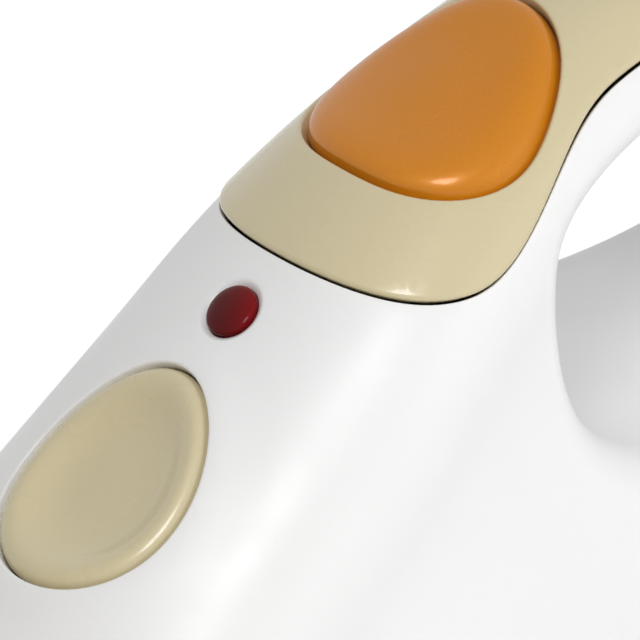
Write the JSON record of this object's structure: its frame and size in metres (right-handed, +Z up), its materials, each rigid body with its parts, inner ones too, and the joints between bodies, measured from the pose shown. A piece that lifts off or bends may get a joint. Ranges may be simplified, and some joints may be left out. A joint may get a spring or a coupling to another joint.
{
  "type": "wallpaper steamer",
  "caption": "Hand-held wallpaper steamer: jug-shaped body with a D-handle, thumb steam button, release button and a clip-on steam plate.",
  "frame": {"origin": "on the floor under the middle of the whole length, on the middle plane", "axes": "-X from the tail towards the nose and the steam plate, +Z up, Y across the body"},
  "size_m": [0.3, 0.19, 0.1789],
  "materials": {
    "housing_white": "smooth glossy white moulding",
    "cream": "smooth glossy cream moulding",
    "orange": "smooth glossy orange moulding with a fine sheen",
    "lens_red": "dark red transparent lens",
    "neon": "neon lamp glass",
    "socket_grey": "grey glass-filled nylon",
    "switch_black": "black moulded switch case",
    "plunger_red": "red switch plunger",
    "brass": "bright brass",
    "steel": "brushed stainless steel",
    "zinc": "zinc plated steel screws",
    "spring": "spring steel wire",
    "plate_aluminium": "brushed aluminium sheet",
    "rubber": "black silicone rubber",
    "tank": "translucent polypropylene",
    "cast": "die-cast aluminium",
    "board": "green circuit board"
  },
  "bodies": {
    "root": {"main_housing": "housing_white", "handle_cover": "cream", "base_pan": "housing_white", "microswitch": "switch_black", "switch_terminals": "brass", "lever_pin": "steel", "outlet_socket": "socket_grey", "indicator_lens": "lens_red", "neon_lamp": "neon", "filler_neck": "socket_grey", "pipe_grommet": "rubber", "water_tank": "tank", "tank_hose": "rubber", "pump": "switch_black", "boiler_hose": "rubber", "boiler_body": "cast", "boiler_lid": "cast", "boiler_gasket": "rubber", "boiler_screws": "zinc", "heater_terminals": "steel", "steam_pipe": "steel", "thermostat": "steel", "thermal_fuse": "steel", "relief_valve": "brass", "terminal_block": "cream", "boiler_brackets": "steel", "control_board": "board", "board_parts": "switch_black", "board_screws": "zinc", "cord_gland": "rubber", "rubber_feet": "rubber", "base_screws": "zinc"},
    "button": {"steam_button": "orange"},
    "plunger": {"switch_plunger": "plunger_red"},
    "release": {"release_button": "cream"},
    "lever": {"latch_lever": "socket_grey", "lever_spring": "spring"},
    "cap": {"filler_cap": "cream", "cap_seal": "rubber"},
    "plate": {"plate_hood": "cream", "plate_neck": "socket_grey", "neck_screws": "zinc", "diffuser": "plate_aluminium", "diffuser_screws": "zinc", "plate_gasket": "rubber", "spigot_seal": "rubber"}
  },
  "joints": [
    {"name": "button_press", "type": "slide", "parent": "root", "child": "button", "axis": [0.4341, 0, -0.9009], "range_m": [0, 0.0018], "stiffness_N_per_m": 600, "springref_m": -0.002},
    {"name": "plunger_press", "type": "slide", "parent": "root", "child": "plunger", "axis": [0.4341, 0, -0.9009], "range_m": [0, 0.0018]},
    {"name": "release_press", "type": "slide", "parent": "root", "child": "release", "axis": [0.6374, 0, -0.7705], "range_m": [0, 0.003], "stiffness_N_per_m": 500, "springref_m": -0.002},
    {"name": "latch_swing", "type": "hinge", "parent": "root", "child": "lever", "pos_m": [-0.071, 0, 0.075], "axis": [0, 1, 0], "range_deg": [0, 4.71]},
    {"name": "cap_turn", "type": "hinge", "parent": "root", "child": "cap", "pos_m": [0.126, 0, 0.16061], "axis": [0.2079, 0, 0.9781], "range_deg": [0, 90]},
    {"name": "plate_swivel", "type": "hinge", "parent": "root", "child": "plate", "pos_m": [-0.098, 0, 0.054], "axis": [1, 0, 0], "range_deg": [-90, 90]}
  ],
  "couplings": [
    {"joint": "plunger_press", "follows": "button_press", "ratio": 1},
    {"joint": "latch_swing", "follows": "release_press", "rad_per_m": 26.846}
  ]
}
